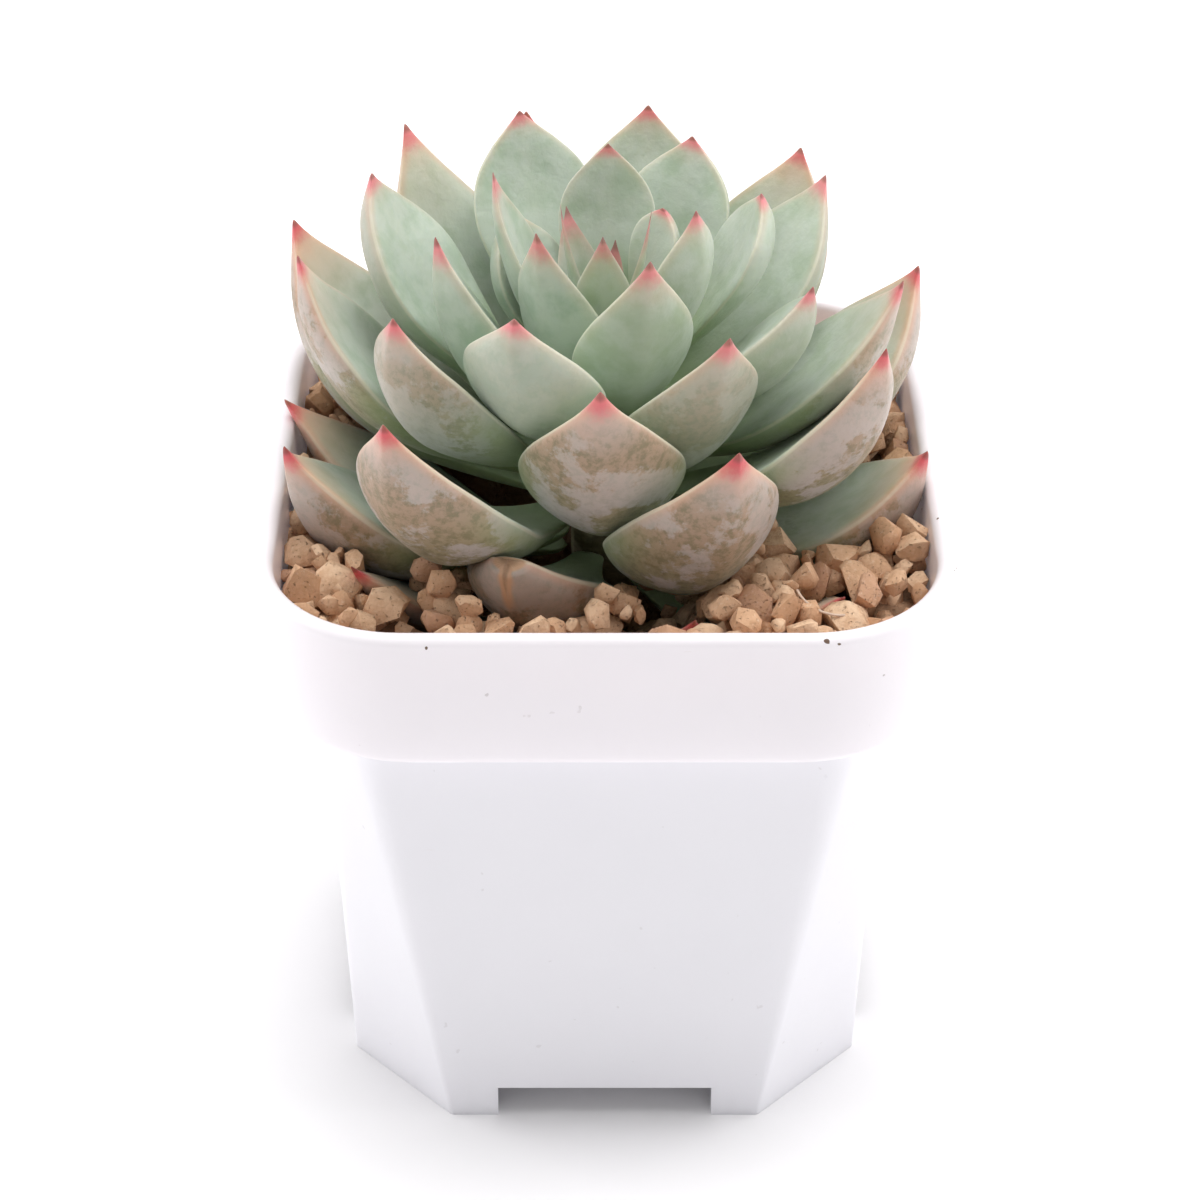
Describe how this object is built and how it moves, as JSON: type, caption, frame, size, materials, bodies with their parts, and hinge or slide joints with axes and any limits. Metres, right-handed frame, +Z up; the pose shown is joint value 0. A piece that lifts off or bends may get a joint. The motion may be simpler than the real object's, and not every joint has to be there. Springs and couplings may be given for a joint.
{
  "type": "potted succulent",
  "caption": "Rosette succulent with thick pointed leaves, growing through clay gravel in a square white plastic nursery pot with a deep rim band.",
  "frame": {"origin": "centre of the pot's base, on the surface the pot stands on", "axes": "+Z up; the pot's front face looks along -Y and +X is to the right seen from the front"},
  "size_m": [0.07, 0.071, 0.0975],
  "materials": {
    "white_plastic": "semi-gloss, slightly translucent white polypropylene with light scuffs",
    "leaf_skin": "waxy grey-green leaf skin with powdery bloom, olive rubbed patches and red tips",
    "clay_gravel": "rough dry baked clay grains",
    "potting_soil": "crumbly dark potting mix",
    "stem_bark": "dry pale brown stem skin"
  },
  "bodies": {
    "root": {"gravel": "clay_gravel", "leaf_01": "leaf_skin", "leaf_02": "leaf_skin", "leaf_03": "leaf_skin", "leaf_04": "leaf_skin", "leaf_05": "leaf_skin", "leaf_06": "leaf_skin", "leaf_07": "leaf_skin", "leaf_08": "leaf_skin", "leaf_09": "leaf_skin", "leaf_10": "leaf_skin", "leaf_11": "leaf_skin", "leaf_12": "leaf_skin", "leaf_13": "leaf_skin", "leaf_14": "leaf_skin", "leaf_15": "leaf_skin", "leaf_16": "leaf_skin", "leaf_17": "leaf_skin", "leaf_18": "leaf_skin", "leaf_19": "leaf_skin", "leaf_20": "leaf_skin", "leaf_21": "leaf_skin", "leaf_22": "leaf_skin", "leaf_23": "leaf_skin", "leaf_24": "leaf_skin", "leaf_25": "leaf_skin", "leaf_26": "leaf_skin", "leaf_27": "leaf_skin", "leaf_28": "leaf_skin", "leaf_29": "leaf_skin", "leaf_30": "leaf_skin", "leaf_31": "leaf_skin", "leaf_32": "leaf_skin", "leaf_33": "leaf_skin", "leaf_34": "leaf_skin", "leaf_35": "leaf_skin", "leaf_36": "leaf_skin", "leaf_37": "leaf_skin", "leaf_38": "leaf_skin", "leaf_39": "leaf_skin", "leaf_40": "leaf_skin", "leaf_41": "leaf_skin", "leaf_42": "leaf_skin", "leaf_43": "leaf_skin", "leaf_44": "leaf_skin", "leaf_45": "leaf_skin", "leaf_47": "leaf_skin", "leaf_50": "leaf_skin", "pot": "white_plastic", "potting_soil": "potting_soil", "stem": "stem_bark"}
  },
  "joints": []
}
